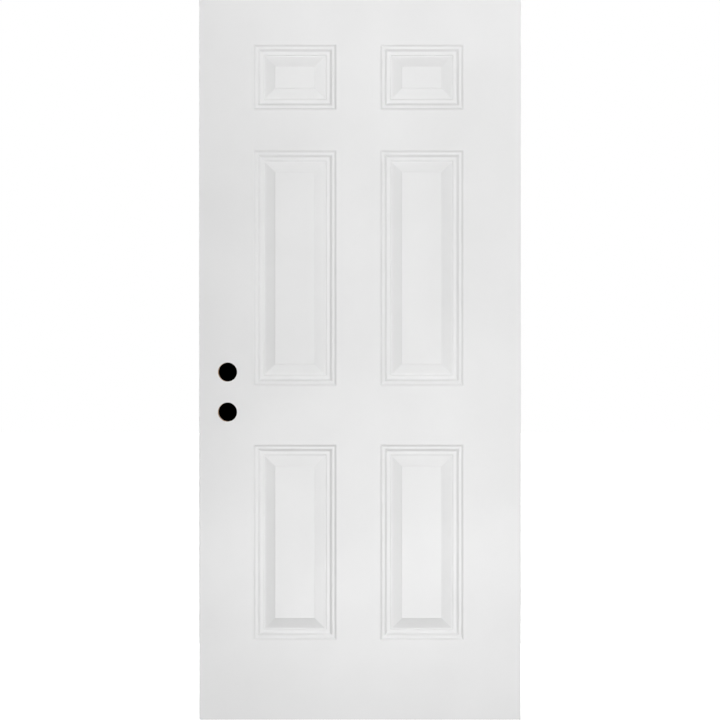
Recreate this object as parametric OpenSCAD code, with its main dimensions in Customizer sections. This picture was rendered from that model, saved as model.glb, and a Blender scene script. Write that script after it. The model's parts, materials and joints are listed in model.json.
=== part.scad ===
// Six-panel insulated entry door leaf: two pressed steel skins over a wood frame,
// with a lock block and a foam core between them.
// The exterior face looks towards -Y, the lock edge is at -X and the hinge edge at +X.
// The origin is at the bottom edge, in the middle of the width and of the thickness.

/* [Leaf] */
// Width of the leaf
leaf_w = 908; // [750:1:1100]
// Height of the leaf
leaf_h = 2032; // [1690:1:2440]
// Thickness of the leaf over both skins
leaf_t = 44.45; // [37:0.05:60]

/* [Steel skins] */
// Thickness of the sheet
skin_t = 0.6; // [0.4:0.05:0.8]
// How far a skin turns round the long edges of the leaf
skin_return = 5; // [4:0.5:6]
// How far the turned edge then dives into its groove in the stile
skin_lip = 6; // [4:0.5:12]
// Inside radius of the folds
fold_r = 0.6; // [0.3:0.1:1]
// Room left beside and beyond the lip in its groove
groove_gap = 0.3; // [0.1:0.1:1]

/* [Panel layout] */
// Flat between the lock edge and the panels
lock_margin = 152.5; // [145:0.5:190]
// Flat between the hinge edge and the panels
hinge_margin = 161.5; // [60:0.5:200]
// Flat between the two columns of panels
mullion_w = 122; // [20:0.5:150]
// Flat above the top panels
top_margin = 125; // [45:0.5:200]
// Height of the top panels
top_panel_h = 185.5; // [150:0.5:300]
// Flat between the top and the middle panels
frieze_h = 113; // [20:0.5:200]
// Flat between the middle and the bottom panels
lock_rail_h = 164.5; // [20:0.5:220]
// Height of the bottom panels
bottom_panel_h = 553; // [300:0.5:700]
// Flat below the bottom panels
bottom_margin = 225; // [60:0.5:300]

/* [Panel moulding] */
// Width of the first step down from the face
step_1_w = 7.5; // [4:0.5:8]
// Drop of the first step
step_1_drop = 3.8; // [1:0.1:5]
// Width of the flat fillet between the two steps
fillet_w = 4.5; // [3:0.5:10]
// Width of the second step
step_2_w = 9; // [5:0.5:11]
// Drop of the second step
step_2_drop = 5; // [1:0.1:6]
// Width of the ledge below the second step
ledge_w = 8; // [4:0.5:10]
// Width of the groove between the ledge and the bevel
quirk_w = 4.5; // [3:0.5:6]
// Depth of that groove below the ledge
quirk_drop = 2; // [1:0.1:2.5]
// Width of the bevel that rises to the raised field
bevel_w = 27; // [15:0.5:30]
// Width of the small step round the raised field
field_step_w = 1.5; // [1:0.1:3]
// Height of that small step
field_step_rise = 1.2; // [0.3:0.1:1.5]
// How far the raised field lies below the face
field_drop = 1.6; // [0.5:0.1:3]

/* [Wood frame] */
// Width of the stiles
stile_w = 41; // [36:0.5:50]
// Height of the top rail
top_rail_h = 38; // [28:0.5:45]
// Height of the bottom rail
bottom_rail_h = 44; // [32:0.5:60]
// Width of the lock block
lock_block_w = 100; // [75:0.5:100]
// Height of the lock block
lock_block_h = 356; // [260:1:450]

/* [Lock bores] */
// Diameter of the two bores through the faces
face_bore_d = 54; // [40:0.1:58]
// Distance of their centres from the lock edge
backset = 80; // [78:0.5:90]
// Height of the lower bore, for the latch
latch_z = 869; // [800:1:1000]
// How far the upper bore, for the bolt, is above the lower one
bolt_rise = 113; // [90:1:150]
// Diameter of the bores in from the lock edge
edge_bore_d = 25.4; // [20:0.1:26]
// Width of the seat for a latch plate
plate_w = 25.4; // [20:0.1:26]
// Height of that seat
plate_h = 57.2; // [50:0.1:70]
// Depth of that seat
plate_t = 3.2; // [2:0.1:4]
// Corner radius of that seat
plate_r = 6.4; // [3:0.1:8]

/* [Hinge seats] */
// Height of a hinge leaf
hinge_h = 101.6; // [80:0.1:120]
// Depth of its seat
hinge_t = 2.5; // [2:0.1:4]
// Corner radius of its seat
hinge_r = 15.9; // [6:0.1:16]
// Wood and steel left between the seat and the exterior face
hinge_land = 6.4; // [6.4:0.1:10]
// From the top of the leaf to the top of the top hinge
hinge_top_gap = 178; // [150:1:250]
// From the bottom of the leaf to the bottom of the bottom hinge
hinge_bottom_gap = 279; // [200:1:330]
// Diameter of the screw pilot holes
pilot_d = 3.2; // [2:0.1:4]
// Depth of the pilot holes below the seat
pilot_depth = 25; // [15:1:30]
// Spacing of the outer two screws
outer_pitch = 76; // [60:1:80]
// Spacing of the inner two screws
inner_pitch = 32; // [20:1:40]
// Distance of the outer screws from the interior face
outer_screw_y = 27; // [20:0.5:28]
// Distance of the inner screws from the interior face
inner_screw_y = 13; // [10:0.5:16]

/* [Sweep grooves] */
// Width of the two grooves under the leaf that hold a door sweep
sweep_groove_w = 3; // [2:0.1:4]
// Depth of those grooves
sweep_groove_depth = 12; // [8:0.5:13]
// Distance between the middles of the grooves
sweep_groove_pitch = 19; // [12:0.5:20]

/* [Corrugated fasteners] */
// Length of a fastener, across the joint of a stile and a rail
fastener_l = 25; // [15:0.5:30]
// How deep it is driven
fastener_depth = 10; // [6:0.5:12]
// Thickness of its steel
fastener_t = 0.8; // [0.5:0.1:1]
// Height of its waves
fastener_wave = 3; // [2:0.1:4]

/* [Hidden] */
$fn = 96;
cut = 1;
fold_steps = 5;
step_steps = 5;
wave_count = 4;

edge_x = leaf_w / 2;
face_y = leaf_t / 2;
core_t = leaf_t - 2 * skin_t;
frame_x = edge_x - stile_w;
fold_outer_r = fold_r + skin_t;
lip_y = face_y - skin_return;
bore_x = -edge_x + backset;
bore_zs = [latch_z, latch_z + bolt_rise];
lock_block_z = latch_z + bolt_rise / 2 - lock_block_h / 2;
hinge_low_z = hinge_bottom_gap + hinge_h / 2;
hinge_high_z = leaf_h - hinge_top_gap - hinge_h / 2;
hinge_zs = [hinge_low_z, (hinge_low_z + hinge_high_z) / 2, hinge_high_z];
// Each pair of hinge screws: its distance from the interior face, and its spacing
hinge_screws = [[outer_screw_y, outer_pitch], [inner_screw_y, inner_pitch]];

panel_w = (leaf_w - lock_margin - mullion_w - hinge_margin) / 2;
panel_xs = [
    -edge_x + lock_margin + panel_w / 2,
    edge_x - hinge_margin - panel_w / 2
];
middle_panel_z = bottom_margin + bottom_panel_h + lock_rail_h;
top_panel_z = leaf_h - top_margin - top_panel_h;
// Each row of panels: the height of its lower edge, and its own height
panel_rows = [
    [bottom_margin, bottom_panel_h],
    [middle_panel_z, top_panel_z - frieze_h - middle_panel_z],
    [top_panel_z, top_panel_h]
];

// The pressed moulding, from a panel's outer edge inwards, as points of inset and depth
fillet_depth = step_1_drop;
ledge_depth = fillet_depth + step_2_drop;
quirk_depth = ledge_depth + quirk_drop;
fillet_end = step_1_w + fillet_w;
ledge_start = fillet_end + step_2_w;
ledge_end = ledge_start + ledge_w;
bevel_start = ledge_end + quirk_w;
bevel_end = bevel_start + bevel_w;
moulding = concat(
    s_curve([0, 0], [step_1_w, fillet_depth]),
    s_curve([fillet_end, fillet_depth], [ledge_start, ledge_depth]),
    [
        [ledge_end, ledge_depth],
        [ledge_end + quirk_w / 2, quirk_depth],
        [bevel_start, quirk_depth],
        [bevel_end, field_drop + field_step_rise],
        [bevel_end + field_step_w, field_drop]
    ]
);
// The same moulding on the back of the sheet
moulding_back = thickened(moulding, skin_t);

// A smooth step between two points, level at both ends
function s_curve(from, to) = [
    for (i = [0:step_steps]) let (share = i / step_steps)
        [
            from[0] + (to[0] - from[0]) * share,
            from[1] + (to[1] - from[1]) * (1 - cos(180 * share)) / 2
        ]
];

// Unit normal, towards greater depth, of the line between two points
function depth_normal(from, to) =
    let (run = (to - from) / norm(to - from)) [-run[1], run[0]];

// A profile moved by a distance along its normals, with mitred corners and flat ends
function thickened(profile, distance) = [
    for (i = [0:len(profile) - 1])
        let (
            before = i == 0 ? [0, 1] : depth_normal(profile[i - 1], profile[i]),
            after = i == len(profile) - 1 ? [0, 1] : depth_normal(profile[i], profile[i + 1])
        )
        profile[i] + distance * (before + after) / (1 + before * after)
];

// Points along an arc
function arc(centre, radius, from, to) = [
    for (i = [0:fold_steps]) let (angle = from + (to - from) * i / fold_steps)
        centre + radius * [cos(angle), sin(angle)]
];

// Points in reverse order
function reversed(points) = [for (i = [len(points) - 1:-1:0]) points[i]];

// A path at the +X side, carried on by its mirror image at the -X side
function across(points) = concat(points, [for (p = reversed(points)) [-p[0], p[1]]]);

// A path at the exterior side, carried on by its mirror image at the interior side
function behind(points) = concat(points, [for (p = reversed(points)) [p[0], -p[1]]]);

// The exterior skin's two folds at the +X edge, from the lip to the face, at a radius
function folds(radius) = concat(
    arc([edge_x - fold_outer_r, -lip_y - fold_outer_r], radius, 90, 0),
    arc([edge_x - fold_outer_r, -face_y + fold_outer_r], radius, 0, -90)
);

// A flat sheet with both long edges folded over the stiles and into their grooves
module sheet_section() {
    lip_x = edge_x - skin_lip;
    outside = concat([[lip_x, -lip_y]], folds(fold_outer_r));
    inside = concat([[lip_x, -lip_y - skin_t]], folds(fold_r));
    polygon(concat(across(outside), reversed(across(inside))));
}

// One ring of a pressed panel: a rectangle drawn in by inset, lying at depth
function ring(w, h, inset, depth) = [
    for (corner = [[-1, -1], [1, -1], [1, 1], [-1, 1]])
        [corner[0] * (w / 2 - inset), depth, corner[1] * (h / 2 - inset)]
];

// The space in front of a pressed panel, from the depth mouth down to the profile
module pan(w, h, profile, mouth) {
    points = concat(
        ring(w, h, profile[0][0], mouth),
        [for (p = profile) each ring(w, h, p[0], p[1])]
    );
    last = len(profile) * 4;
    sides = [
        for (base = [0:4:last - 4], i = [0:3])
            let (next = (i + 1) % 4) [base + i, base + next, base + next + 4, base + i + 4]
    ];
    polyhedron(
        points,
        concat([[3, 2, 1, 0]], sides, [[last, last + 1, last + 2, last + 3]]),
        convexity = 6
    );
}

// All six pans of the exterior face
module pans(profile, mouth) {
    for (x = panel_xs, row = panel_rows)
        translate([x, -face_y, row[0] + row[1] / 2]) pan(panel_w, row[1], profile, mouth);
}

// A cylinder along Y through the whole thickness for each lock bore
module face_bores() {
    for (z = bore_zs)
        translate([bore_x, face_y + cut, z])
            rotate([90, 0, 0]) cylinder(d = face_bore_d, h = leaf_t + 2 * cut);
}

// A seat sunk in the edge at x = 0 and open towards +X, with rounded corners
module seat(w, h, depth, radius) {
    translate([-depth, -w / 2 + radius, -h / 2]) cube([depth + cut, w - 2 * radius, h]);
    translate([-depth, -w / 2, -h / 2 + radius]) cube([depth + cut, w, h - 2 * radius]);
    for (y = [-1, 1], z = [-1, 1])
        translate([-depth, y * (w / 2 - radius), z * (h / 2 - radius)])
            rotate([0, 90, 0]) cylinder(r = radius, h = depth + cut);
}

// The bore in from the lock edge and the seat for its plate, at each lock bore
module edge_bores() {
    for (z = bore_zs) {
        translate([-edge_x - cut, 0, z])
            rotate([0, 90, 0]) cylinder(d = edge_bore_d, h = backset + cut);
        translate([-edge_x, 0, z]) mirror([1, 0, 0]) seat(plate_w, plate_h, plate_t, plate_r);
    }
}

// The three hinge seats in the hinge edge, open to the interior face
module hinge_seats() {
    seat_w = leaf_t - hinge_land + hinge_r + cut;
    for (z = hinge_zs)
        translate([edge_x, -face_y + hinge_land + seat_w / 2, z])
            seat(seat_w, hinge_h, hinge_t, hinge_r);
}

// The pilot holes for four staggered screws in each hinge seat
module hinge_pilots() {
    for (z = hinge_zs, screw = hinge_screws, end = [-1, 1])
        translate([edge_x - hinge_t - pilot_depth, face_y - screw[0], z + end * screw[1] / 2])
            rotate([0, 90, 0]) cylinder(d = pilot_d, h = pilot_depth + cut, $fn = 32);
}

// The two grooves along the whole bottom edge
module sweep_grooves() {
    for (side = [-1, 1])
        translate([-edge_x - cut, side * sweep_groove_pitch / 2 - sweep_groove_w / 2, -cut])
            cube([leaf_w + 2 * cut, sweep_groove_w, sweep_groove_depth + cut]);
}

// A corrugated strip, lying along X and driven towards -Y from y = 0
module fastener() {
    steps = 4 * wave_count;
    wave = [
        for (i = [0:steps])
            [(i / steps - 0.5) * fastener_l, sin(i * 90) * (fastener_wave - fastener_t) / 2]
    ];
    side = [0, fastener_t / 2];
    rotate([90, 0, 0])
        linear_extrude(fastener_depth)
            polygon(concat(
                [for (p = wave) p - side],
                [for (i = [steps:-1:0]) wave[i] + side]
            ));
}

// A fastener on both sides of the frame at each of its four corners
module fasteners() {
    for (x = [-frame_x, frame_x], z = [bottom_rail_h / 2, leaf_h - top_rail_h / 2])
        translate([x, 0, z])
            for (turn = [0, 180]) rotate([0, 0, turn]) translate([0, core_t / 2, 0]) fastener();
}

// The stile at the +X edge, with its face corners and lip grooves shaped for the skins
module stile_blank() {
    groove_x = edge_x - skin_lip - groove_gap;
    groove_y = -lip_y + groove_gap;
    exterior_half = concat(
        [[edge_x, groove_y], [groove_x, groove_y], [groove_x, -lip_y - skin_t]],
        folds(fold_r),
        [[frame_x, -core_t / 2]]
    );
    linear_extrude(leaf_h) polygon(behind(exterior_half));
}

// One skin, on the exterior side
module skin() {
    difference() {
        union() {
            linear_extrude(leaf_h) sheet_section();
            pans(moulding_back, skin_t / 2);
        }
        pans(moulding, -cut);
        face_bores();
    }
}

module exterior_skin() {
    color("whitesmoke") skin();
}

module interior_skin() {
    color("whitesmoke")
        difference() {
            mirror([0, 1, 0]) skin();
            hinge_seats();
        }
}

module lock_stile() {
    color("burlywood")
        difference() {
            mirror([1, 0, 0]) stile_blank();
            edge_bores();
            sweep_grooves();
            fasteners();
        }
}

module hinge_stile() {
    color("burlywood")
        difference() {
            stile_blank();
            hinge_seats();
            hinge_pilots();
            sweep_grooves();
            fasteners();
        }
}

module top_rail() {
    color("burlywood")
        difference() {
            translate([-frame_x, -core_t / 2, leaf_h - top_rail_h])
                cube([2 * frame_x, core_t, top_rail_h]);
            fasteners();
        }
}

module bottom_rail() {
    color("tan")
        difference() {
            translate([-frame_x, -core_t / 2, 0]) cube([2 * frame_x, core_t, bottom_rail_h]);
            sweep_grooves();
            fasteners();
        }
}

// The room that the lock block takes beside the lock stile
module lock_block_room() {
    translate([-frame_x, -core_t / 2, lock_block_z])
        cube([lock_block_w, core_t, lock_block_h]);
}

module lock_block() {
    color("peru")
        difference() {
            lock_block_room();
            face_bores();
            edge_bores();
        }
}

module foam_core() {
    color("lemonchiffon")
        difference() {
            translate([-frame_x, -core_t / 2, bottom_rail_h])
                cube([2 * frame_x, core_t, leaf_h - bottom_rail_h - top_rail_h]);
            lock_block_room();
            pans(moulding_back, skin_t / 2);
            mirror([0, 1, 0]) pans(moulding_back, skin_t / 2);
        }
}

module corrugated_fasteners() {
    color("silver") fasteners();
}

exterior_skin();
interior_skin();
lock_stile();
hinge_stile();
top_rail();
bottom_rail();
lock_block();
foam_core();
corrugated_fasteners();
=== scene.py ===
"""Looks of an insulated six-panel entry door leaf, built around its packed construction.

The two pressed steel skins are modelled again with rounded press radii, folded edges and the slight
slackness of real sheet. The wood frame, the lock block, the foam and the fasteners are dressed.
All lengths are in metres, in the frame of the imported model.
"""

from __future__ import annotations

import json
import logging
import math
from dataclasses import dataclass
from enum import Enum

import bmesh
import bpy
from mathutils import Matrix, Vector

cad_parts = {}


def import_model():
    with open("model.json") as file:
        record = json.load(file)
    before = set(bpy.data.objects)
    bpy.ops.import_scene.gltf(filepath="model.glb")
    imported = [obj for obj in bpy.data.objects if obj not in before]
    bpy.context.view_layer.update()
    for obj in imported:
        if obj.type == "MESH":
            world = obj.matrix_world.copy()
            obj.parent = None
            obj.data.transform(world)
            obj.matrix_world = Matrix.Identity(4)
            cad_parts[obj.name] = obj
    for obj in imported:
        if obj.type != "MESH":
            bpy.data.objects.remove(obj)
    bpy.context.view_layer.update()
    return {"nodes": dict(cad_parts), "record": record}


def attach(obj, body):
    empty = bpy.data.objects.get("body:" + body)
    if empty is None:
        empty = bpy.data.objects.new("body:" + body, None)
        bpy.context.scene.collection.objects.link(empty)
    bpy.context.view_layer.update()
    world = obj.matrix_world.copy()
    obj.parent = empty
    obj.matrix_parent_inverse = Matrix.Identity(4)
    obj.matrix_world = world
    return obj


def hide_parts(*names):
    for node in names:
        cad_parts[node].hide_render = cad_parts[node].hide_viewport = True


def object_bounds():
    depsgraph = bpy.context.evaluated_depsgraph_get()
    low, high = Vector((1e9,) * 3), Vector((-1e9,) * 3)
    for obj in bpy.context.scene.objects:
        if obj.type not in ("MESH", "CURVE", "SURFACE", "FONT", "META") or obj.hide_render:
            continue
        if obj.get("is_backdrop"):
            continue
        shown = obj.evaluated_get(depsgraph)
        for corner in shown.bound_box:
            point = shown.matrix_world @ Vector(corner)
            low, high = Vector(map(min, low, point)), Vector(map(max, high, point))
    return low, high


LOG = logging.getLogger("door_leaf")
BODY = "root"
MM = 0.001
# Two places closer than this are one place.
SLIP = 1e-6
# Share of a cell by which a step may be too long before it is split.
STEP_SLACK = 0.01
# The attribute that holds how far inside a panel's outline a point lies, and its value outside all panels.
PRESS_LAYER = "inset"
OFF_PANEL = -1.0

Socket = bpy.types.NodeSocket
Finish = bpy.types.Material
Triple = tuple[float, float, float]
Colour = Triple
NO_TURN = (0.0, 0.0, 0.0)


class Axis(Enum):
    """The direction that a board's grain runs in, as the turn that stands it upright."""

    UPRIGHT = (0.0, 0.0, 0.0)
    LEVEL = (0.0, math.pi / 2, 0.0)


class Graph:
    """Writes a node tree one node at a time."""

    def __init__(self, tree: bpy.types.NodeTree) -> None:
        """Start on a tree.

        Args:
            tree: The shader or geometry node tree to write.
        """
        self.tree = tree

    def add(self, kind: str, **settings: object) -> bpy.types.Node:
        """Add a node.

        Args:
            kind: The node's type name.
            settings: Properties to set on it.

        Returns:
            The new node.
        """
        node = self.tree.nodes.new(kind)
        for key, value in settings.items():
            setattr(node, key, value)
        return node

    def feed(self, socket: Socket, value: object) -> None:
        """Link an output to a socket, or set the socket to a plain value.

        Args:
            socket: The socket.
            value: Another node's output, or the value.
        """
        if isinstance(value, bpy.types.NodeSocket):
            self.tree.links.new(value, socket)
        else:
            socket.default_value = value

    def math(self, operation: str, *values: object) -> Socket:
        """Work out a number.

        Args:
            operation: The Math node's operation.
            values: Its inputs, as sockets or numbers.

        Returns:
            The result's socket.
        """
        node = self.add("ShaderNodeMath", operation=operation)
        for socket, value in zip(node.inputs, values):
            self.feed(socket, value)
        return node.outputs[0]

    def ramp(
        self,
        value: Socket,
        low: object,
        high: object,
        to_low: object,
        to_high: object,
        smooth: bool = False,
    ) -> Socket:
        """Map a range of a number to another range, and hold it at both ends.

        Args:
            value: The number.
            low: Where the range starts.
            high: Where it ends.
            to_low: The result at the start.
            to_high: The result at the end.
            smooth: Whether the change is level at both ends.

        Returns:
            The mapped number's socket.
        """
        node = self.add("ShaderNodeMapRange", interpolation_type="SMOOTHSTEP" if smooth else "LINEAR")
        for name, number in (
            ("Value", value),
            ("From Min", low),
            ("From Max", high),
            ("To Min", to_low),
            ("To Max", to_high),
        ):
            self.feed(node.inputs[name], number)
        return node.outputs["Result"]

    def blend(self, share: object, first: object, second: object) -> Socket:
        """Mix two colours.

        Args:
            share: How much of the second colour there is, from 0 to 1.
            first: The first colour, as a socket or three numbers.
            second: The second colour, as a socket or three numbers.

        Returns:
            The mixed colour's socket.
        """
        node = self.add("ShaderNodeMix", data_type="RGBA")
        self.feed(node.inputs["Factor"], share)
        for name, colour in (("A", first), ("B", second)):
            socket = next(s for s in node.inputs if s.name == name and s.type == "RGBA")
            self.feed(socket, colour if isinstance(colour, bpy.types.NodeSocket) else (*colour, 1.0))
        return next(s for s in node.outputs if s.type == "RGBA")

    def noise(self, place: Socket, scale: float, detail: float) -> Socket:
        """Sample soft noise.

        Args:
            place: The coordinates to sample at.
            scale: Features in a metre.
            detail: How many finer layers are added.

        Returns:
            The noise's socket, from 0 to 1.
        """
        node = self.add("ShaderNodeTexNoise")
        self.feed(node.inputs["Vector"], place)
        self.feed(node.inputs["Scale"], scale)
        self.feed(node.inputs["Detail"], detail)
        return node.outputs[0]

    def stretched(self, place: Socket, turn: Triple, scale: Triple) -> Socket:
        """Turn and stretch coordinates.

        Args:
            place: The coordinates.
            turn: Rotation about each axis, in radians.
            scale: Factor along each axis, after the turn.

        Returns:
            The new coordinates' socket.
        """
        turned = self.add("ShaderNodeVectorRotate", rotation_type="EULER_XYZ")
        self.feed(turned.inputs["Vector"], place)
        self.feed(turned.inputs["Rotation"], turn)
        scaled = self.add("ShaderNodeVectorMath", operation="MULTIPLY")
        self.feed(scaled.inputs[0], turned.outputs[0])
        self.feed(scaled.inputs[1], scale)
        return scaled.outputs[0]


class Surface:
    """A material with one Principled shader, reading the piece's own coordinates."""

    def __init__(self, name: str, metallic: float = 0.0, roughness: float = 0.5) -> None:
        """Start a material.

        Args:
            name: The material's name.
            metallic: 1 for bare metal and 0 for anything else.
            roughness: Roughness, where it is the same all over.
        """
        self.material = bpy.data.materials.new(name)
        self.material.use_nodes = True
        self.graph = Graph(self.material.node_tree)
        self.shader = self.material.node_tree.nodes["Principled BSDF"]
        self.shader.inputs["Metallic"].default_value = metallic
        self.shader.inputs["Roughness"].default_value = roughness
        self.place = self.graph.add("ShaderNodeTexCoord").outputs["Object"]

    def feed(self, name: str, value: object) -> None:
        """Set one of the shader's inputs."""
        self.graph.feed(self.shader.inputs[name], value)

    def emboss(self, height: Socket, distance: float) -> None:
        """Raise the surface by a height pattern.

        Args:
            height: The pattern, from 0 to 1.
            distance: The height that 1 stands for.
        """
        bump = self.graph.add("ShaderNodeBump")
        self.graph.feed(bump.inputs["Height"], height)
        self.graph.feed(bump.inputs["Distance"], distance)
        self.graph.feed(self.shader.inputs["Normal"], bump.outputs["Normal"])


@dataclass(frozen=True)
class SatinPaint:
    """White factory paint on pressed steel, with a fine orange peel."""

    light: Colour = (0.80, 0.80, 0.80)
    dark: Colour = (0.76, 0.76, 0.76)
    patch_scale: float = 2.6
    smear_scale: float = 7.8
    peel_scale: float = 330.0
    peel_height: float = 0.000006
    smoothest: float = 0.285
    roughest: float = 0.36

    def material(self) -> Finish:
        """Build the paint's material.

        Returns:
            The new material.
        """
        surface = Surface("satin_white_paint")
        graph = surface.graph
        patches = graph.noise(surface.place, self.patch_scale, detail=4.0)
        share = graph.ramp(patches, 0.35, 0.65, 0, 1)
        surface.feed("Base Color", graph.blend(share, self.dark, self.light))
        smears = graph.noise(surface.place, self.smear_scale, detail=5.0)
        surface.feed("Roughness", graph.ramp(smears, 0.3, 0.7, self.smoothest, self.roughest))
        surface.emboss(graph.noise(surface.place, self.peel_scale, detail=1.0), self.peel_height)
        return surface.material


@dataclass(frozen=True)
class CutSheet:
    """The bare zinc-coated edge of the steel sheet, where it was sheared or bored."""

    colour: Colour = (0.55, 0.56, 0.57)
    dull_share: float = 0.8
    burr_scale: float = 900.0
    smoothest: float = 0.32
    roughest: float = 0.5

    def material(self) -> Finish:
        """Build the cut edge's material.

        Returns:
            The new material.
        """
        surface = Surface("cut_sheet_edge", metallic=1.0)
        graph = surface.graph
        burr = graph.noise(surface.place, self.burr_scale, detail=2.0)
        dull = tuple(self.dull_share * c for c in self.colour)
        surface.feed("Base Color", graph.blend(burr, dull, self.colour))
        surface.feed("Roughness", graph.ramp(burr, 0.2, 0.8, self.smoothest, self.roughest))
        return surface.material


@dataclass(frozen=True)
class JointedPine:
    """Planed pine in short lengths, finger-jointed and glued end to end."""

    name: str
    axis: Axis
    early_wood: Colour = (0.68, 0.47, 0.26)
    late_wood: Colour = (0.47, 0.27, 0.12)
    board_length: float = 0.46
    finger_length: float = 0.010
    finger_pitch: float = 0.0075
    glue: Colour = (0.16, 0.09, 0.04)
    glue_share: float = 0.0009
    ring_width: float = 0.0038
    ring_sharpness: float = 2.2
    ring_stretch: float = 0.035
    waver_scale: float = 26.0
    waver_reach: float = 0.02
    fibre_scale: float = 900.0
    fibre_stretch: float = 0.02
    tone_spread: float = 0.35
    relief: float = 0.00012

    def material(self) -> Finish:
        """Build the wood's material.

        Returns:
            The new material.
        """
        surface = Surface(self.name, roughness=0.62)
        graph = surface.graph
        place = graph.stretched(surface.place, self.axis.value, (1, 1, 1))
        split = graph.add("ShaderNodeSeparateXYZ")
        graph.feed(split.inputs[0], place)
        finger = graph.math("PINGPONG", split.outputs["Y"], self.finger_pitch / 2)
        shift = graph.math("MULTIPLY", finger, 2 * self.finger_length / self.finger_pitch)
        along = graph.math("DIVIDE", graph.math("ADD", split.outputs["Z"], shift), self.board_length)
        board = graph.math("FLOOR", along)
        chance = graph.add("ShaderNodeTexWhiteNoise", noise_dimensions="1D")
        graph.feed(chance.inputs["W"], board)

        moved = graph.add("ShaderNodeVectorMath", operation="ADD")
        graph.feed(moved.inputs[0], graph.stretched(place, NO_TURN, (1, 1, self.ring_stretch)))
        graph.feed(moved.inputs[1], chance.outputs["Color"])
        waver = graph.noise(moved.outputs[0], self.waver_scale, detail=3.0)
        rings_place = graph.add("ShaderNodeVectorMath", operation="MULTIPLY_ADD")
        graph.feed(rings_place.inputs[0], waver)
        graph.feed(rings_place.inputs[1], (self.waver_reach, self.waver_reach, 0.0))
        graph.feed(rings_place.inputs[2], moved.outputs[0])
        rings = graph.add("ShaderNodeTexWave", wave_type="RINGS", rings_direction="Z")
        graph.feed(rings.inputs["Vector"], rings_place.outputs[0])
        graph.feed(rings.inputs["Scale"], math.pi / 10 / self.ring_width)
        drawn_out = graph.stretched(place, NO_TURN, (1, 1, self.fibre_stretch))
        fibre = graph.noise(drawn_out, self.fibre_scale, detail=3.0)

        sharp = graph.math("POWER", rings.outputs["Fac"], self.ring_sharpness)
        wood = graph.blend(graph.math("MULTIPLY", sharp, 0.75), self.early_wood, self.late_wood)
        tone = graph.ramp(chance.outputs["Value"], 0, 1, 1 - self.tone_spread, 1.0)
        toned = graph.blend(tone, self.late_wood, wood)
        streaked = graph.blend(graph.ramp(fibre, 0.3, 0.7, 0.22, 0.0), toned, self.late_wood)
        to_joint = graph.math("PINGPONG", along, 0.5)
        line = graph.ramp(to_joint, 0.0, self.glue_share, 0.55, 0.0)
        surface.feed("Base Color", graph.blend(line, streaked, self.glue))
        surface.feed("Roughness", graph.ramp(sharp, 0, 1, 0.66, 0.52))
        surface.emboss(graph.math("ADD", fibre, graph.math("MULTIPLY", sharp, 0.6)), self.relief)
        return surface.material


@dataclass(frozen=True)
class LaminatedVeneer:
    """Thin veneers glued face to face, their layers parallel to the faces of the leaf."""

    veneer: float = 0.0031
    pale: Colour = (0.62, 0.42, 0.23)
    dark: Colour = (0.36, 0.21, 0.10)
    glue: Colour = (0.07, 0.04, 0.02)
    waver_scale: float = 30.0
    waver_reach: float = 0.0006
    grain_scale: float = 650.0
    grain_stretch: float = 0.05
    relief: float = 0.0003

    def material(self) -> Finish:
        """Build the laminate's material.

        Returns:
            The new material.
        """
        surface = Surface("laminated_veneer", roughness=0.7)
        graph = surface.graph
        waver = graph.noise(surface.place, self.waver_scale, detail=2.0)
        split = graph.add("ShaderNodeSeparateXYZ")
        graph.feed(split.inputs[0], surface.place)
        level = graph.math("MULTIPLY_ADD", waver, self.waver_reach, split.outputs["Y"])
        layers = graph.math("DIVIDE", level, self.veneer)
        chance = graph.add("ShaderNodeTexWhiteNoise", noise_dimensions="1D")
        graph.feed(chance.inputs["W"], graph.math("FLOOR", layers))
        drawn_out = graph.stretched(surface.place, NO_TURN, (1, 1, self.grain_stretch))
        grain = graph.noise(drawn_out, self.grain_scale, detail=3.0)
        tone = graph.math("MULTIPLY_ADD", grain, 0.4, graph.math("MULTIPLY", chance.outputs["Value"], 0.6))
        wood = graph.blend(tone, self.pale, self.dark)
        line = graph.ramp(graph.math("PINGPONG", layers, 0.5), 0.0, 0.07, 0.8, 0.0)
        surface.feed("Base Color", graph.blend(line, wood, self.glue))
        surface.emboss(grain, self.relief)
        return surface.material


@dataclass(frozen=True)
class FibreComposite:
    """Rot-proof wood-fibre composite, sanded, with pale and dark flecks."""

    body: Colour = (0.36, 0.26, 0.17)
    fleck: Colour = (0.55, 0.44, 0.31)
    speck: Colour = (0.15, 0.10, 0.06)
    fleck_scale: float = 520.0
    fleck_stretch: float = 0.25
    speck_scale: float = 1300.0
    relief: float = 0.0002

    def material(self) -> Finish:
        """Build the composite's material.

        Returns:
            The new material.
        """
        surface = Surface("fibre_composite", roughness=0.75)
        graph = surface.graph
        drawn_out = graph.stretched(surface.place, NO_TURN, (self.fleck_stretch, 1, 1))
        shreds = graph.noise(drawn_out, self.fleck_scale, detail=2.0)
        dust = graph.noise(surface.place, self.speck_scale, detail=1.0)
        flecked = graph.blend(graph.ramp(shreds, 0.56, 0.64, 0, 0.85), self.body, self.fleck)
        surface.feed("Base Color", graph.blend(graph.ramp(dust, 0.6, 0.68, 0, 0.8), flecked, self.speck))
        surface.emboss(shreds, self.relief)
        return surface.material


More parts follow.
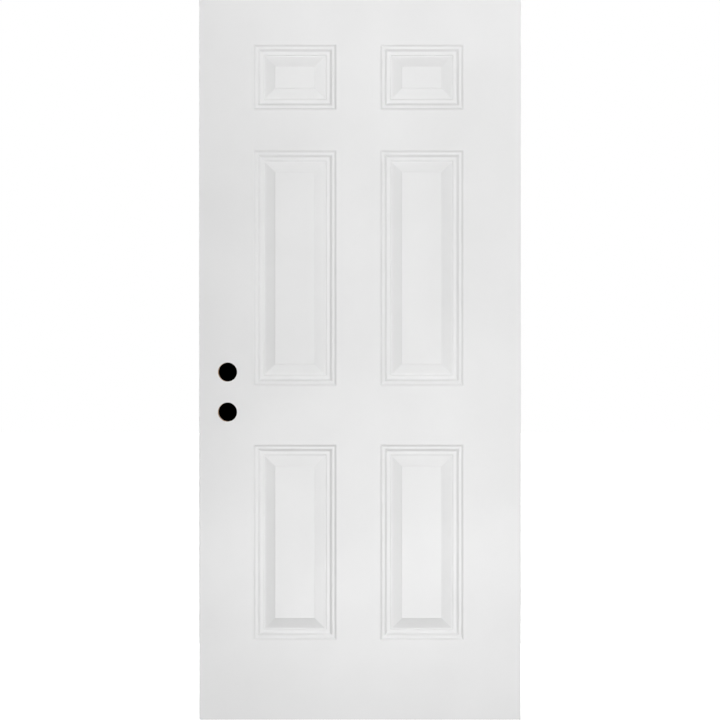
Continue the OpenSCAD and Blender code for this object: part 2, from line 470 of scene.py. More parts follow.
@dataclass(frozen=True)
class RigidFoam:
    """Poured rigid foam, with fine closed cells and a faint flow pattern."""

    pale: Colour = (0.86, 0.76, 0.50)
    deep: Colour = (0.74, 0.60, 0.33)
    cell_scale: float = 1100.0
    flow_scale: float = 9.0
    relief: float = 0.0004

    def material(self) -> Finish:
        """Build the foam's material.

        Returns:
            The new material.
        """
        surface = Surface("rigid_foam", roughness=0.85)
        graph = surface.graph
        cells = graph.add("ShaderNodeTexVoronoi", feature="F1")
        graph.feed(cells.inputs["Vector"], surface.place)
        graph.feed(cells.inputs["Scale"], self.cell_scale)
        flow = graph.ramp(graph.noise(surface.place, self.flow_scale, detail=4.0), 0.3, 0.7, 0, 1)
        surface.feed("Base Color", graph.blend(flow, self.pale, self.deep))
        surface.emboss(cells.outputs["Distance"], self.relief)
        return surface.material


@dataclass(frozen=True)
class ZincSteel:
    """Rolled strip steel with a thin zinc plating."""

    colour: Colour = (0.60, 0.61, 0.63)
    dull_share: float = 0.75
    spangle_scale: float = 260.0
    smoothest: float = 0.3
    roughest: float = 0.5

    def material(self) -> Finish:
        """Build the plated steel's material.

        Returns:
            The new material.
        """
        surface = Surface("zinc_steel", metallic=1.0)
        graph = surface.graph
        spangles = graph.add("ShaderNodeTexVoronoi", feature="F1")
        graph.feed(spangles.inputs["Vector"], surface.place)
        graph.feed(spangles.inputs["Scale"], self.spangle_scale)
        shade = graph.add("ShaderNodeSeparateXYZ")
        graph.feed(shade.inputs[0], spangles.outputs["Color"])
        dull = tuple(self.dull_share * c for c in self.colour)
        surface.feed("Base Color", graph.blend(shade.outputs["X"], dull, self.colour))
        dullness = graph.ramp(shade.outputs["Y"], 0, 1, self.smoothest, self.roughest)
        surface.feed("Roughness", dullness)
        return surface.material


@dataclass(frozen=True)
class Moulding:
    """The pressed moulding round a raised panel, from its outer edge inwards."""

    step_1_w: float = 7.5 * MM
    step_1_drop: float = 3.8 * MM
    fillet_w: float = 4.5 * MM
    step_2_w: float = 9.0 * MM
    step_2_drop: float = 5.0 * MM
    ledge_w: float = 8.0 * MM
    quirk_w: float = 4.5 * MM
    quirk_drop: float = 2.0 * MM
    bevel_w: float = 27.0 * MM
    field_step_w: float = 1.5 * MM
    field_step_rise: float = 1.2 * MM
    field_drop: float = 1.6 * MM
    border: float = 2.0 * MM
    hold: float = 0.7 * MM
    nearest_ring: float = 0.05 * MM

    @property
    def fillet_end(self) -> float:
        """Inset where the second step starts."""
        return self.step_1_w + self.fillet_w

    @property
    def ledge_start(self) -> float:
        """Inset where the second step ends."""
        return self.fillet_end + self.step_2_w

    @property
    def ledge_end(self) -> float:
        """Inset where the groove before the bevel starts."""
        return self.ledge_start + self.ledge_w

    @property
    def bevel_start(self) -> float:
        """Inset where the bevel starts to rise."""
        return self.ledge_end + self.quirk_w

    @property
    def bevel_end(self) -> float:
        """Inset where the bevel meets the step round the field."""
        return self.bevel_start + self.bevel_w

    @property
    def end(self) -> float:
        """Inset where the raised field starts."""
        return self.bevel_end + self.field_step_w

    @property
    def bevel_rise(self) -> float:
        """Height that the bevel gains."""
        floor = self.step_1_drop + self.step_2_drop + self.quirk_drop
        return floor - self.field_drop - self.field_step_rise

    def insets(self) -> list[float]:
        """Insets of the mesh's rings, close together where the sheet bends.

        Returns:
            The insets in order, from the flat border outside to the field inside.
        """
        bends = (
            (0.0, self.step_1_w, 10),
            (self.fillet_end, self.ledge_start, 10),
            (self.ledge_end, self.ledge_end + self.quirk_w / 2, 6),
            (self.bevel_start, self.bevel_end, 6),
            (self.bevel_end, self.end, 5),
        )
        rings = {-self.border, -self.hold}
        for start, stop, steps in bends:
            rings.update(start + (stop - start) * i / steps for i in range(steps + 1))
            rings.update((start - self.hold, stop + self.hold))
        return sorted(merged(rings, self.nearest_ring))


@dataclass(frozen=True)
class Panel:
    """The outline of one pressed panel on the face."""

    x_low: float
    x_high: float
    z_low: float
    z_high: float


@dataclass(frozen=True)
class Layout:
    """Where the panels lie on the leaf."""

    lock_margin: float = 152.5 * MM
    hinge_margin: float = 161.5 * MM
    mullion_w: float = 122.0 * MM
    top_margin: float = 125.0 * MM
    top_panel_h: float = 185.5 * MM
    frieze_h: float = 113.0 * MM
    lock_rail_h: float = 164.5 * MM
    bottom_panel_h: float = 553.0 * MM
    bottom_margin: float = 225.0 * MM

    def panels(self, low: Vector, high: Vector) -> list[Panel]:
        """Place the six panels.

        Args:
            low: The leaf's lowest corner.
            high: The leaf's highest corner.

        Returns:
            The panels, column by column from the lock edge, each from the bottom up.
        """
        width = (high.x - low.x - self.lock_margin - self.mullion_w - self.hinge_margin) / 2
        lefts = (low.x + self.lock_margin, high.x - self.hinge_margin - width)
        bottom = low.z + self.bottom_margin
        middle = bottom + self.bottom_panel_h + self.lock_rail_h
        top = high.z - self.top_margin - self.top_panel_h
        rows = (
            (bottom, bottom + self.bottom_panel_h),
            (middle, top - self.frieze_h),
            (top, top + self.top_panel_h),
        )
        return [Panel(x, x + width, z_low, z_high) for x in lefts for z_low, z_high in rows]


class Side(Enum):
    """Which face of the leaf a skin covers, as the direction it looks in along Y."""

    EXTERIOR = -1
    INTERIOR = 1


class Facing(Enum):
    """The side of the leaf that a light stands on, as a turn about the upright axis."""

    FRONT = 0.0
    RIGHT = math.pi / 2
    BACK = math.pi
    LEFT = -math.pi / 2


@dataclass(frozen=True)
class Seat:
    """A hinge seat in the hinge edge, as the depth and the heights that it is cut to."""

    x: float
    z_low: float
    z_high: float

    @classmethod
    def at(cls, place: list[float], height: float = 101.6 * MM) -> "Seat":
        """The seat of a hinge of a height, from the middle of its floor."""
        return cls(place[0], place[2] - height / 2, place[2] + height / 2)

    def holds(self, x_start: float, x_stop: float, z: float) -> bool:
        """Whether a face between two places across the leaf, starting at a height, is cut away."""
        return min(x_start, x_stop) > self.x - SLIP and self.z_low - SLIP < z < self.z_high - SLIP


@dataclass(frozen=True)
class Bore:
    """A round hole through the leaf."""

    x: float
    z: float
    radius: float


def mounts(record: dict, name_part: str) -> list[dict]:
    """Find the record's mounts by a part of their names.

    Args:
        record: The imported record.
        name_part: What the names hold.

    Returns:
        The mounts, in the record's order.
    """
    return [mount for mount in record["mounts"] if name_part in mount["name"]]


def show_piece(name: str, mesh: bpy.types.Mesh) -> bpy.types.Object:
    """Put a mesh into the scene as a piece.

    Args:
        name: The piece's name.
        mesh: Its mesh, already in place.

    Returns:
        The new object.
    """
    piece = bpy.data.objects.new(name, mesh)
    bpy.context.scene.collection.objects.link(piece)
    return piece


def settle(piece: bpy.types.Object) -> None:
    """Turn what a piece's modifiers make into its plain mesh, and remove them.

    Args:
        piece: The piece.
    """
    graph = bpy.context.evaluated_depsgraph_get()
    mesh = bpy.data.meshes.new_from_object(piece.evaluated_get(graph))
    rough = piece.data
    piece.modifiers.clear()
    piece.data = mesh
    mesh.name = piece.name
    bpy.data.meshes.remove(rough)


def attach_tree(piece: bpy.types.Object, tree: bpy.types.NodeTree, sizes: dict[str, float]) -> None:
    """Run a geometry tree on a piece.

    Args:
        piece: The piece.
        tree: The tree.
        sizes: The values of the tree's named inputs.
    """
    modifier = piece.modifiers.new(tree.name, "NODES")
    modifier.node_group = tree
    for socket in tree.interface.items_tree:
        if socket.in_out == "INPUT" and socket.name in sizes:
            modifier[socket.identifier] = sizes[socket.name]


def start_tree(name: str, sizes: dict[str, float]) -> tuple[Graph, dict[str, Socket]]:
    """Start a geometry tree with one named input for each size.

    Args:
        name: The tree's name.
        sizes: The sizes by name.

    Returns:
        The tree's writer, and its inputs by name.
    """
    tree = bpy.data.node_groups.new(name, "GeometryNodeTree")
    tree.interface.new_socket("Geometry", in_out="INPUT", socket_type="NodeSocketGeometry")
    for size in sizes:
        tree.interface.new_socket(size, in_out="INPUT", socket_type="NodeSocketFloat")
    tree.interface.new_socket("Geometry", in_out="OUTPUT", socket_type="NodeSocketGeometry")
    graph = Graph(tree)
    inputs = graph.add("NodeGroupInput").outputs
    return graph, {socket.name: socket for socket in inputs if socket.name}


def end_tree(graph: Graph, geometry: Socket, material: Finish) -> None:
    """End a geometry tree: make its instances real and give everything one material.

    Args:
        graph: The tree's writer.
        geometry: The finished geometry.
        material: The material.
    """
    real = graph.add("GeometryNodeRealizeInstances")
    graph.feed(real.inputs[0], geometry)
    dressed = graph.add("GeometryNodeSetMaterial")
    graph.feed(dressed.inputs["Geometry"], real.outputs[0])
    dressed.inputs["Material"].default_value = material
    graph.feed(graph.add("NodeGroupOutput").inputs[0], dressed.outputs[0])


def merged(marks: set[float], nearest: float = SLIP) -> set[float]:
    """Drop marks that lie too close above another.

    Args:
        marks: The marks.
        nearest: How far apart two marks have to be.

    Returns:
        The marks that are kept.
    """
    kept: list[float] = []
    for mark in sorted(marks):
        if not kept or mark - kept[-1] > nearest:
            kept.append(mark)
    return set(kept)


def spaced(marks: set[float], cell: float) -> list[float]:
    """Fill the gaps between marks with even steps.

    Args:
        marks: Places that must be kept.
        cell: The longest step.

    Returns:
        All places in order.
    """
    places = sorted(merged(marks))
    filled = places[:1]
    for start, stop in zip(places, places[1:]):
        steps = max(1, math.ceil((stop - start) / cell - STEP_SLACK))
        filled.extend(start + (stop - start) * i / steps for i in range(1, steps + 1))
    return filled


class Net:
    """A sheet of faces on a grid of columns and rows, with patches cut out of it."""

    def __init__(self, section: list[tuple[float, float]], rows: list[float]) -> None:
        """Lay out the grid.

        Args:
            section: The sheet's cross-section from one lip to the other, as points of x and depth.
            rows: The heights of the rows.
        """
        self.mesh = bmesh.new()
        self.inset = self.mesh.verts.layers.float.new(PRESS_LAYER)
        self.section = section
        self.rows = rows
        self.grid: dict[tuple[int, int], bmesh.types.BMVert] = {}

    def point(self, x: float, depth: float, z: float, inset: float = OFF_PANEL) -> bmesh.types.BMVert:
        """Add a point.

        Args:
            x: Its place across the leaf.
            depth: How far it lies below the face.
            z: Its height.
            inset: How far inside a panel's outline it lies.

        Returns:
            The point's vertex.
        """
        vertex = self.mesh.verts.new((x, depth, z))
        vertex[self.inset] = inset
        return vertex

    def knot(self, column: int, row: int) -> bmesh.types.BMVert:
        """Find the vertex where a column crosses a row, made when it is first asked for.

        Args:
            column: The column.
            row: The row.

        Returns:
            The vertex.
        """
        key = (column, row)
        if key not in self.grid:
            x, depth = self.section[column]
            self.grid[key] = self.point(x, depth, self.rows[row])
        return self.grid[key]

    def cell(self, column: int, row: int) -> None:
        """Add the face between two columns and two rows."""
        corners = ((0, 0), (1, 0), (1, 1), (0, 1))
        self.mesh.faces.new([self.knot(column + i, row + j) for i, j in corners])

    def columns_between(self, start: float, stop: float) -> range:
        """Find the columns of the face between two places.

        Args:
            start: A place across the leaf.
            stop: A place further across.

        Returns:
            The columns, those at both places included.
        """
        on_face = [(i, x) for i, (x, depth) in enumerate(self.section) if depth == 0]
        found = [i for i, x in on_face if start - SLIP < x < stop + SLIP]
        return range(found[0], found[-1] + 1)

    def rows_between(self, start: float, stop: float) -> range:
        """The rows from one height to another, both included."""
        found = [j for j, z in enumerate(self.rows) if start - SLIP < z < stop + SLIP]
        return range(found[0], found[-1] + 1)

    @staticmethod
    def rim(columns: range, rows: range) -> list[tuple[int, int]]:
        """The grid keys round a rectangle, anticlockwise from its lower left.

        Args:
            columns: Its columns, the last one included.
            rows: Its rows, the last one included.

        Returns:
            The keys in order.
        """
        left, right, bottom, top = columns[0], columns[-1], rows[0], rows[-1]
        keys = [(i, bottom) for i in columns[:-1]] + [(right, j) for j in rows[:-1]]
        keys += [(i, top) for i in reversed(columns[1:])] + [(left, j) for j in reversed(rows[1:])]
        return keys

    def shrunk(
        self, columns: range, rows: range, key: tuple[int, int], shrink: float, inset: float
    ) -> bmesh.types.BMVert:
        """Add the point that a knot moves to when its rectangle of the grid is drawn in on all sides.

        Args:
            columns: The rectangle's columns.
            rows: Its rows.
            key: The knot.
            shrink: How far the rectangle is drawn in.
            inset: The point's inset in the panel.

        Returns:
            The point's vertex.
        """
        x_low, x_high = self.section[columns[0]][0], self.section[columns[-1]][0]
        z_low, z_high = self.rows[rows[0]], self.rows[rows[-1]]
        across = (self.section[key[0]][0] - x_low) / (x_high - x_low)
        up = (self.rows[key[1]] - z_low) / (z_high - z_low)
        x = x_low + shrink + across * (x_high - x_low - 2 * shrink)
        z = z_low + shrink + up * (z_high - z_low - 2 * shrink)
        return self.point(x, 0.0, z, inset)

    def band(self, outer: list[bmesh.types.BMVert], inner: list[bmesh.types.BMVert]) -> None:
        """Join two closed loops, where the inner one may have a whole multiple of the points.

        Args:
            outer: The outer loop, anticlockwise.
            inner: The inner loop, anticlockwise from the same corner.
        """
        each = len(inner) // len(outer)
        for i, start in enumerate(outer):
            stop = outer[(i + 1) % len(outer)]
            back = [inner[(i * each + k) % len(inner)] for k in range(each, -1, -1)]
            self.mesh.faces.new([start, stop, *back])


@dataclass(frozen=True)
class SteelSkin:
    """One of the two steel skins: pressed, bored, and folded over both stiles."""

    node: str
    side: Side
    moulding: Moulding
    layout: Layout
    gauge: float = 0.6 * MM
    fold_radius: float = 1.2 * MM
    fold_return: float = 5.0 * MM
    lip: float = 6.0 * MM
    fold_hold: float = 1.3 * MM
    fold_steps: int = 7
    cell: float = 32.0 * MM
    mitre_radius: float = 1.2 * MM
    bore_cells: int = 12
    bore_pad: float = 41.5 * MM
    rolled_edge: float = 0.35 * MM
    rolled_depth: float = 0.12 * MM
    slackness: float = 0.10 * MM
    slack_scale: float = 3.4
    edge_softness: float = 0.1 * MM

    def fold(self, edge: float) -> list[tuple[float, float]]:
        """The section of the fold at the leaf's +X edge, from the face to the end of the lip.

        Args:
            edge: Where the edge of the leaf is.

        Returns:
            Points of x and depth, without the one where the face ends.
        """
        radius = self.fold_radius
        centre = edge - radius
        turns = [math.pi / 2 * i / self.fold_steps for i in range(self.fold_steps + 1)]
        arris = [(centre + radius * math.sin(a), radius - radius * math.cos(a)) for a in turns[1:]]
        end = self.fold_return - radius
        second = [(centre + radius * math.cos(a), end + radius * math.sin(a)) for a in turns]
        lip = [(edge - self.fold_hold - radius, self.fold_return), (edge - self.lip, self.fold_return)]
        return arris + second + lip

    def section(self, edge: float, marks: set[float]) -> list[tuple[float, float]]:
        """The whole cross-section of the skin.

        Args:
            edge: Where the +X edge of the leaf is. The other one mirrors it.
            marks: Places across the face that need a column.

        Returns:
            Points of x and depth, from the lip at -X to the lip at +X.
        """
        ends = {edge - self.fold_radius, edge - self.fold_radius - self.fold_hold}
        face = spaced(marks | ends | {-x for x in ends}, self.cell)
        right = self.fold(edge)
        left = [(-x, depth) for x, depth in reversed(right)]
        return left + [(x, 0.0) for x in face] + right

    def marks(self, low: Vector, high: Vector, bores: list[Bore], panels: list[Panel]) -> tuple[set, set]:
        """Where the sheet needs columns and rows: at every outline, and close beside every bend.

        Args:
            low: The leaf's lowest corner.
            high: Its highest corner.
            bores: The bores through the skin.
            panels: The panels pressed into it.

        Returns:
            The places across the leaf, and the heights.
        """
        columns = set()
        rows = {low.z, high.z, low.z + self.fold_hold, high.z - self.fold_hold}
        border = self.moulding.border
        for panel in panels:
            for places, start, stop in (
                (columns, panel.x_low - border, panel.x_high + border),
                (rows, panel.z_low - border, panel.z_high + border),
            ):
                places.update((start, start + self.mitre_radius, stop - self.mitre_radius, stop))
        for bore in bores:
            steps = [self.bore_pad * (2 * i / self.bore_cells - 1) for i in range(self.bore_cells + 1)]
            columns.update(bore.x + step for step in steps)
            rows.update(bore.z + step for step in steps)
        return merged(columns), merged(rows)

    def sheet(self, low: Vector, high: Vector, bores: list[Bore], seats: list[Seat]) -> bmesh.types.BMesh:
        """Lay out the flat sheet with its folds, bores, panel rings and hinge notches.

        Args:
            low: The leaf's lowest corner.
            high: Its highest corner.
            bores: The bores through the skin.
            seats: The notches in its hinge edge.

        Returns:
            The sheet, with its depth below the face as Y.
        """
        panels = self.layout.panels(low, high)
        columns, rows = self.marks(low, high, bores, panels)
        for seat in seats:
            columns.update((seat.x, seat.x - self.fold_hold))
            for z in (seat.z_low, seat.z_high):
                rows.update((z - self.fold_hold, z, z + self.fold_hold))
        net = Net(self.section(high.x, columns), spaced(rows, self.cell))
        taken = set()
        for panel in panels:
            taken |= self.press(net, panel)
        for bore in bores:
            taken |= self.cut(net, bore)
        for i, (start, stop) in enumerate(zip(net.section, net.section[1:])):
            for j, z in enumerate(net.rows[:-1]):
                if (i, j) in taken:
                    continue
                if any(seat.holds(start[0], stop[0], z) for seat in seats):
                    continue
                net.cell(i, j)
        return net.mesh

    def press(self, net: Net, panel: Panel) -> set[tuple[int, int]]:
        """Fill a panel's place with mitred rings that follow the moulding, and a field inside them.

        Args:
            net: The sheet.
            panel: The panel.

        Returns:
            The grid cells that the panel takes.
        """
        border = self.moulding.border
        columns = net.columns_between(panel.x_low - border, panel.x_high + border)
        rows = net.rows_between(panel.z_low - border, panel.z_high + border)
        keys = net.rim(columns, rows)
        loop = [net.knot(*key) for key in keys]
        insets = self.moulding.insets()
        for inset in insets[1:]:
            inner = [net.shrunk(columns, rows, key, inset + border, inset) for key in keys]
            net.band(loop, inner)
            loop = inner
        field = dict(zip(keys, loop))
        for i in columns[1:-1]:
            for j in rows[1:-1]:
                field[i, j] = net.shrunk(columns, rows, (i, j), insets[-1] + border, insets[-1])
        cells = {(i, j) for i in columns[:-1] for j in rows[:-1]}
        for i, j in sorted(cells):
            net.mesh.faces.new([field[i, j], field[i + 1, j], field[i + 1, j + 1], field[i, j + 1]])
        return cells

    def cut(self, net: Net, bore: Bore) -> set[tuple[int, int]]:
        """Cut a bore, its edge drawn in a little by the cutter.

        Args:
            net: The sheet.
            bore: The bore.

        Returns:
            The grid cells that the bore takes.
        """
        pad = self.bore_pad
        columns = net.columns_between(bore.x - pad, bore.x + pad)
        rows = net.rows_between(bore.z - pad, bore.z + pad)
        loop = [net.knot(*key) for key in net.rim(columns, rows)]
        angles = [math.atan2(knot.co.z - bore.z, knot.co.x - bore.x) % math.tau for knot in loop]
        turns = []
        for start, stop in zip(angles, angles[1:] + angles[:1]):
            turns += [start, start + (stop - start) % math.tau / 2]
        edge = self.rolled_edge
        for extra, depth in ((3 * edge, 0.0), (edge, 0.0), (0.0, self.rolled_depth)):
            radius = bore.radius + extra
            ring = [(bore.x + radius * math.cos(a), bore.z + radius * math.sin(a)) for a in turns]
            inner = [net.point(x, depth, z) for x, z in ring]
            net.band(loop, inner)
            loop = inner
        return {(i, j) for i in columns[:-1] for j in rows[:-1]}

    def press_tree(self, paint: Finish, sizes: dict[str, float]) -> bpy.types.NodeTree:
        """Write the tree that presses the sheet: its depth follows each point's inset.

        Args:
            paint: The paint that the pressed sheet gets.
            sizes: The sizes of the moulding by name.

        Returns:
            The tree.
        """
        graph, size = start_tree("panel_press", sizes)
        inset = graph.add("GeometryNodeInputNamedAttribute", data_type="FLOAT")
        inset.inputs["Name"].default_value = PRESS_LAYER
        place = inset.outputs["Attribute"]
        parts = (
            ("Face", "Fillet", "Step 1 drop", True),
            ("Fillet end", "Ledge", "Step 2 drop", True),
            ("Ledge end", "Quirk", "Quirk drop", True),
            ("Bevel start", "Bevel end", "Bevel drop", False),
            ("Bevel end", "Field", "Field drop", True),
        )
        depth = 0.0
        for start, stop, drop, smooth in parts:
            slope = graph.ramp(place, size[start], size[stop], 0, size[drop], smooth)
            depth = graph.math("ADD", slope, depth)
        position = graph.add("GeometryNodeInputPosition").outputs[0]
        split = graph.add("ShaderNodeSeparateXYZ")
        graph.feed(split.inputs[0], position)
        from_edge = graph.math("SUBTRACT", size["Half width"], graph.math("ABSOLUTE", split.outputs["X"]))
        slack = graph.ramp(from_edge, size["Stiff edge"], size["Loose from"], 0, size["Slackness"], True)
        wave = graph.noise(position, size["Slack scale"], detail=1.0)
        depth = graph.math("MULTIPLY_ADD", wave, slack, depth)
        offset = graph.add("ShaderNodeCombineXYZ")
        graph.feed(offset.inputs["Y"], graph.math("MULTIPLY", depth, size["Direction"]))
        pressed = graph.add("GeometryNodeSetPosition")
        graph.feed(pressed.inputs["Geometry"], size["Geometry"])
        graph.feed(pressed.inputs["Offset"], offset.outputs[0])
        end_tree(graph, pressed.outputs[0], paint)
        return graph.tree

    def press_sizes(self, half_width: float) -> dict[str, float]:
        """The press tree's inputs: where each part of the moulding starts, and how far it goes down.

        Args:
            half_width: Half the width of the leaf.

        Returns:
            The values by name.
        """
        form = self.moulding
        return {
            "Face": 0.0,
            "Fillet": form.step_1_w,
            "Step 1 drop": form.step_1_drop,
            "Fillet end": form.fillet_end,
            "Ledge": form.ledge_start,
            "Step 2 drop": form.step_2_drop,
            "Ledge end": form.ledge_end,
            "Quirk": form.ledge_end + form.quirk_w / 2,
            "Quirk drop": form.quirk_drop,
            "Bevel start": form.bevel_start,
            "Bevel end": form.bevel_end,
            "Bevel drop": -form.bevel_rise,
            "Field": form.end,
            "Field drop": -form.field_step_rise,
            "Half width": half_width,
            "Stiff edge": 2 * self.fold_radius,
            "Loose from": 2 * self.cell,
            "Slackness": self.slackness,
            "Slack scale": self.slack_scale,
            "Direction": -self.side.value,
        }

    def build(self, bores: list[Bore], seats: list[Seat], paint: Finish, cut: Finish) -> None:
        """Build the skin and put it in its CAD node's place.

        Args:
            bores: The bores through the skin.
            seats: The notches in its hinge edge.
            paint: The finish of its faces.
            cut: The finish of its cut edges.
        """
        low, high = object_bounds()
        sheet = self.sheet(Vector(low), Vector(high), bores, seats)
        face = low[1] if self.side is Side.EXTERIOR else high[1]
        for vertex in sheet.verts:
            vertex.co.y = face - self.side.value * vertex.co.y
        if self.side is Side.INTERIOR:
            bmesh.ops.reverse_faces(sheet, faces=sheet.faces[:])
        mesh = bpy.data.meshes.new(f"{self.node}_sheet")
        sheet.to_mesh(mesh)
        sheet.free()
        mesh.materials.append(paint)
        mesh.materials.append(cut)
        piece = show_piece(f"pressed_{self.node}", mesh)
        sizes = self.press_sizes(high[0])
        attach_tree(piece, self.press_tree(paint, sizes), sizes)
        wall = piece.modifiers.new("gauge", "SOLIDIFY")
        wall.thickness = self.gauge
        wall.offset = -1
        wall.use_even_offset = True
        wall.material_offset_rim = 1
        ease = piece.modifiers.new("deburred", "BEVEL")
        ease.width = self.edge_softness
        ease.segments = 2
        ease.limit_method = "ANGLE"
        ease.angle_limit = math.radians(60)
        ease.use_clamp_overlap = True
        settle(piece)
        smooth(piece.data)
        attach(piece, BODY)
        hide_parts(self.node)
        LOG.info("%s: %d faces", piece.name, len(piece.data.polygons))


@dataclass(frozen=True)
class WoodFrame:
    """The stiles, the rails and the lock block, which keep their CAD form."""

    stiles: tuple[str, ...] = ("lock_stile", "hinge_stile")

    def dress(self, nodes: dict[str, bpy.types.Object]) -> None:
        """Give every wooden piece its finish.

        Args:
            nodes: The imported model's objects by name.
        """
        upright = JointedPine("jointed_pine_upright", Axis.UPRIGHT).material()
        for name in self.stiles:
            dress_node(nodes[name], upright)
        dress_node(nodes["top_rail"], JointedPine("jointed_pine_level", Axis.LEVEL).material())
        dress_node(nodes["bottom_rail"], FibreComposite().material())
        dress_node(nodes["lock_block"], LaminatedVeneer().material())


@dataclass(frozen=True)
class Core:
    """The foam between the skins."""

    node: str = "foam_core"

    def dress(self, nodes: dict[str, bpy.types.Object]) -> None:
        """Give the foam its finish."""
        dress_node(nodes[self.node], RigidFoam().material())


@dataclass(frozen=True)
class Fasteners:
    """The corrugated fasteners across the corner joints of the frame."""

    node: str = "corrugated_fasteners"

    def dress(self, nodes: dict[str, bpy.types.Object]) -> None:
        """Give the fasteners their finish."""
        dress_node(nodes[self.node], ZincSteel().material())


@dataclass(frozen=True)
class SoftBox:
    """A rectangular soft light that looks level at the leaf and isn't seen by the camera."""

    name: str
    radiance: float
    across: float
    height: float
    wide: float
    tall: float
    roll: float = 0.0
    distance: float = 2.0

    def hang(self, facing: Facing, share: float = 1.0) -> None:
        """Put the light into the scene.

        Args:
            facing: The side of the leaf that it stands on.
            share: How much of its full radiance it gives there.
        """
        lamp = bpy.data.lights.new(f"{self.name}_{facing.name.lower()}", "AREA")
        lamp.shape = "RECTANGLE"
        lamp.size = self.wide
        lamp.size_y = self.tall
        lamp.energy = share * self.radiance * math.pi * self.wide * self.tall
        holder = bpy.data.objects.new(lamp.name, lamp)
        bpy.context.scene.collection.objects.link(holder)
        stand = Matrix.Translation((self.across, -self.distance, self.height))
        level = Matrix.Rotation(math.pi / 2, 4, "X") @ Matrix.Rotation(self.roll, 4, "Z")
        holder.matrix_world = Matrix.Rotation(facing.value, 4, "Z") @ stand @ level
        holder.visible_camera = False


@dataclass(frozen=True)
class Studio:
    """The camera, the soft lights, the white surroundings and the pale floor.

    The lights of a face stand at slightly different distances, so that none lies in another's plane. Those
    of the two edges stand behind the exterior face, so that they don't fill the shade in its mouldings.
    """

    lens: float = 135.0
    sensor: float = 36.0
    floor_size: float = 60.0
    floor_gap: float = 0.2 * MM
    # Room round the leaf in a view that takes in all of it, as a factor of its diagonal.
    whole_view: float = 1.03
    # How far the dark behind the bores reaches past them: two factors, and a slope above them.
    dark_inner: float = 0.97
    dark_bottom: float = 1.1
    dark_top: float = 0.002
    ambient: float = 0.12
    face_lights: tuple[SoftBox, ...] = (
        SoftBox("strip", 1.67, across=0.20, height=1.33, wide=1.11, tall=1.99),
        SoftBox("overhead", 2.37, across=0.42, height=2.72, wide=4.42, tall=1.19, distance=2.02),
        SoftBox("low_fill", 3.15, across=0.36, height=0.24, wide=3.80, tall=0.46, distance=2.04),
        SoftBox("low_patch", 2.40, across=0.12, height=0.25, wide=0.97, tall=0.39, roll=0.53, distance=1.98),
        SoftBox("floor_bounce", 1.90, across=0.20, height=-0.30, wide=2.60, tall=0.60, distance=2.01),
    )
    back_share: float = 0.6
    edge_lights: tuple[tuple[Facing, SoftBox], ...] = (
        (Facing.RIGHT, SoftBox("edge_light", 9.0, across=0.5, height=1.2, wide=0.5, tall=2.6, distance=2.2)),
        (Facing.LEFT, SoftBox("edge_light", 9.0, across=-0.5, height=1.2, wide=0.5, tall=2.6, distance=2.2)),
    )

    def aim_camera(self, low: Vector, high: Vector) -> float:
        """Set the camera straight in front of the exterior face, which fills the picture's height.

        Args:
            low: The leaf's lowest corner.
            high: Its highest corner.

        Returns:
            The distance from the camera to the face.
        """
        camera = bpy.data.cameras.new("camera")
        camera.lens = self.lens
        camera.sensor_width = self.sensor
        camera.clip_end = 200.0
        distance = (high.z - low.z) * self.lens / self.sensor
        holder = bpy.data.objects.new("camera", camera)
        bpy.context.scene.collection.objects.link(holder)
        holder.location = ((low.x + high.x) / 2, low.y - distance, (low.z + high.z) / 2)
        holder.rotation_euler = (math.pi / 2, 0.0, 0.0)
        bpy.context.scene.camera = holder
        return distance

    def dark_slopes(self, bores: list[Bore], distance: float) -> tuple[float, float, float, float]:
        """Work out where the surroundings are dark, so that the bores look black from straight in front.

        From a view further off, such as those that take in the whole leaf, the leaf hides all of the dark.

        Args:
            bores: The bores through the leaf.
            distance: The distance from the camera to the face.

        Returns:
            The slopes X/|Y| and then Z/|Y| that the dark lies between.
        """
        low, high = (Vector(corner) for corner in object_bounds())
        thickness = high.y - low.y
        half_view = math.atan(self.sensor / 2 / self.lens)
        far = (high - low).length / 2 / math.sin(half_view) * self.whole_view - thickness / 2
        outer = max(abs(bore.x) + bore.radius for bore in bores) / (distance + thickness)
        inner = min(abs(bore.x) - bore.radius for bore in bores) / far
        middle = (low.z + high.z) / 2
        bottom = (min(bore.z - bore.radius for bore in bores) - middle) / distance
        top = (max(bore.z + bore.radius for bore in bores) - middle) / distance
        left = (outer + high.x / far) / 2
        return -left, -inner * self.dark_inner, bottom * self.dark_bottom, top + self.dark_top

    def surroundings(self, dark_slopes: tuple[float, float, float, float]) -> None:
        """Make the world: white to look at, softly lit from around, and dark in the line of the bores.

        Args:
            dark_slopes: The slopes X/|Y| and then Z/|Y| that the dark lies between.
        """
        world = bpy.data.worlds.new("white_surroundings")
        world.use_nodes = True
        bpy.context.scene.world = world
        graph = Graph(world.node_tree)
        background = world.node_tree.nodes["Background"]
        way = graph.add("ShaderNodeTexCoord").outputs["Generated"]
        split = graph.add("ShaderNodeSeparateXYZ")
        graph.feed(split.inputs[0], way)
        depth = graph.math("MAXIMUM", graph.math("ABSOLUTE", split.outputs["Y"]), 0.001)
        across = graph.math("DIVIDE", split.outputs["X"], depth)
        up = graph.math("DIVIDE", split.outputs["Z"], depth)
        left, right, bottom, top = dark_slopes
        inside = [
            graph.math("GREATER_THAN", across, left),
            graph.math("LESS_THAN", across, right),
            graph.math("GREATER_THAN", up, bottom),
            graph.math("LESS_THAN", up, top),
        ]
        dark = inside[0]
        for limit in inside[1:]:
            dark = graph.math("MULTIPLY", dark, limit)
        seen = graph.blend(dark, (1.0, 1.0, 1.0), (0.0, 0.0, 0.0))
        camera_ray = graph.add("ShaderNodeLightPath").outputs["Is Camera Ray"]
        graph.feed(background.inputs["Color"], graph.blend(camera_ray, (self.ambient,) * 3, seen))

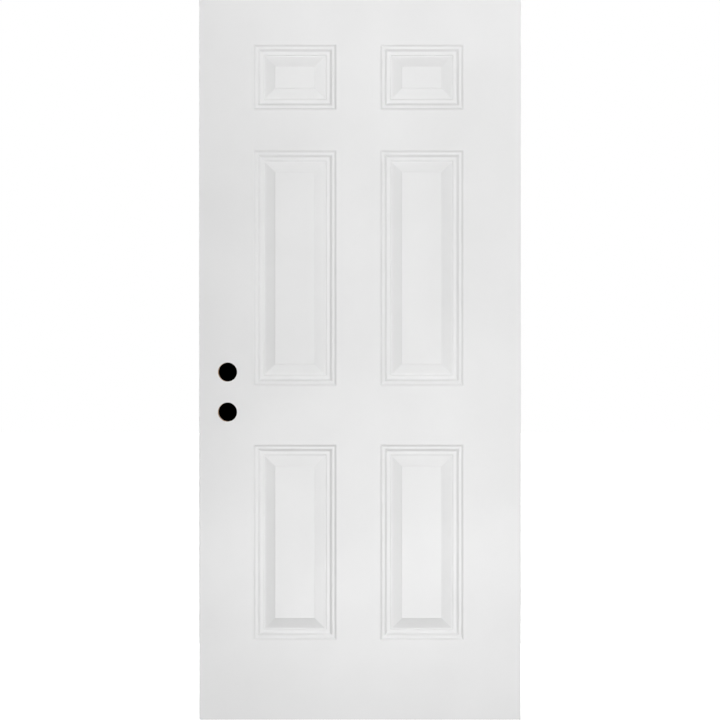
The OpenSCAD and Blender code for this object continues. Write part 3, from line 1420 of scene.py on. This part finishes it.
    def lay_floor(self) -> None:
        """Lay the pale floor that the leaf stands on, clear when it is seen from underneath."""
        half = self.floor_size / 2
        mesh = bpy.data.meshes.new("floor")
        level = -self.floor_gap
        corners = [(-half, -half, level), (half, -half, level), (half, half, level), (-half, half, level)]
        mesh.from_pydata(corners, [], [(0, 1, 2, 3)])
        floor = show_piece("floor", mesh)
        surface = Surface("pale_floor", roughness=0.9)
        surface.feed("Base Color", (0.8, 0.8, 0.8, 1.0))
        surface.feed("Emission Color", (1.0, 1.0, 1.0, 1.0))
        surface.feed("Emission Strength", 1.0)
        underneath = surface.graph.add("ShaderNodeNewGeometry").outputs["Backfacing"]
        surface.feed("Alpha", surface.graph.math("SUBTRACT", 1.0, underneath))
        mesh.materials.append(surface.material)
        floor.visible_diffuse = False
        floor.visible_glossy = False
        floor.visible_shadow = False
        floor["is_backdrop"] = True

    def set_up(self, bores: list[Bore]) -> None:
        """Set up the camera, the lights, the surroundings and the floor.

        Args:
            bores: The bores through the leaf, which open on a dark ground.
        """
        low, high = (Vector(corner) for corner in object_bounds())
        distance = self.aim_camera(low, high)
        self.surroundings(self.dark_slopes(bores, distance))
        for light in self.face_lights:
            light.hang(Facing.FRONT)
            light.hang(Facing.BACK, self.back_share)
        for facing, light in self.edge_lights:
            light.hang(facing)
        self.lay_floor()
        bpy.context.scene.view_settings.view_transform = "Standard"


def dress_node(node: bpy.types.Object, material: Finish) -> None:
    """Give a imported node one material.

    Args:
        node: The node's object.
        material: The material.
    """
    node.data.materials.clear()
    node.data.materials.append(material)
    LOG.info("%s: %s", node.name, material.name)


def smooth(mesh: bpy.types.Mesh, angle: float = 40.0) -> None:
    """Shade a mesh smooth, with sharp edges above an angle in degrees."""
    mesh.shade_smooth()
    mesh.set_sharp_from_angle(angle=math.radians(angle))


def main() -> None:
    """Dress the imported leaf."""
    logging.basicConfig(level=logging.INFO, format="%(name)s: %(message)s")
    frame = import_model()
    record = frame["record"]
    nodes = frame["nodes"]
    bores = [
        Bore(mount["pos_m"][0], mount["pos_m"][2], mount["dims"]["r_mm"] * MM)
        for mount in mounts(record, "face_bore")
    ]
    seats = [Seat.at(mount["pos_m"]) for mount in mounts(record, "hinge_seat")]
    paint, cut = SatinPaint().material(), CutSheet().material()
    moulding, layout = Moulding(), Layout()
    SteelSkin("exterior_skin", Side.EXTERIOR, moulding, layout).build(bores, [], paint, cut)
    SteelSkin("interior_skin", Side.INTERIOR, moulding, layout).build(bores, seats, paint, cut)
    WoodFrame().dress(nodes)
    Core().dress(nodes)
    Fasteners().dress(nodes)
    Studio().set_up(bores)


if __name__ == "__main__":
    main()
